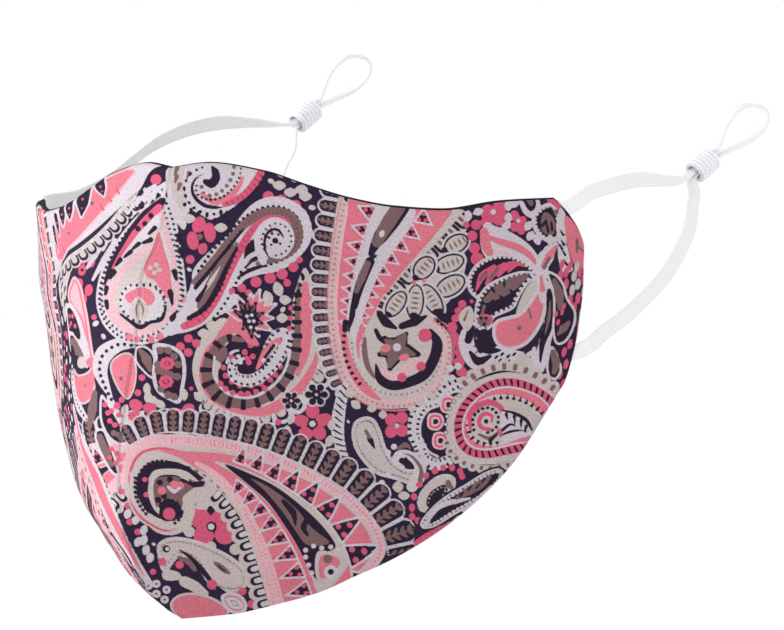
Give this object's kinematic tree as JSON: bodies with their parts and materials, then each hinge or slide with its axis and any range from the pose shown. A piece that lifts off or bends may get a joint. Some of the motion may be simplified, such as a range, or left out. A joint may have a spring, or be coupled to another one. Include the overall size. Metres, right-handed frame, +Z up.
{
  "type": "cloth face mask",
  "caption": "Cupped cloth face mask with a printed outer cloth, a dark lining, two flat elastic ear loops and a ribbed bead that adjusts each loop.",
  "frame": {"origin": "nose bridge: the top of the outer cloth on its centre line, where the mask sits on a nose", "axes": "+X to the wearer's left, +Y back toward the wearer, +Z up"},
  "size_m": [0.1862, 0.2382, 0.1683],
  "materials": {
    "printed_cloth": "matt woven cloth with a pink, grey, taupe and dark violet paisley print",
    "lining_cloth": "matt near-black woven cloth",
    "white_elastic": "soft matt knitted elastic",
    "soft_bead": "ribbed satin silicone"
  },
  "bodies": {
    "root": {"printed_shell": "printed_cloth", "lining": "lining_cloth", "ear_loop_left": "white_elastic", "ear_loop_right": "white_elastic", "loop_adjuster_left": "soft_bead", "loop_adjuster_right": "soft_bead"}
  },
  "joints": []
}
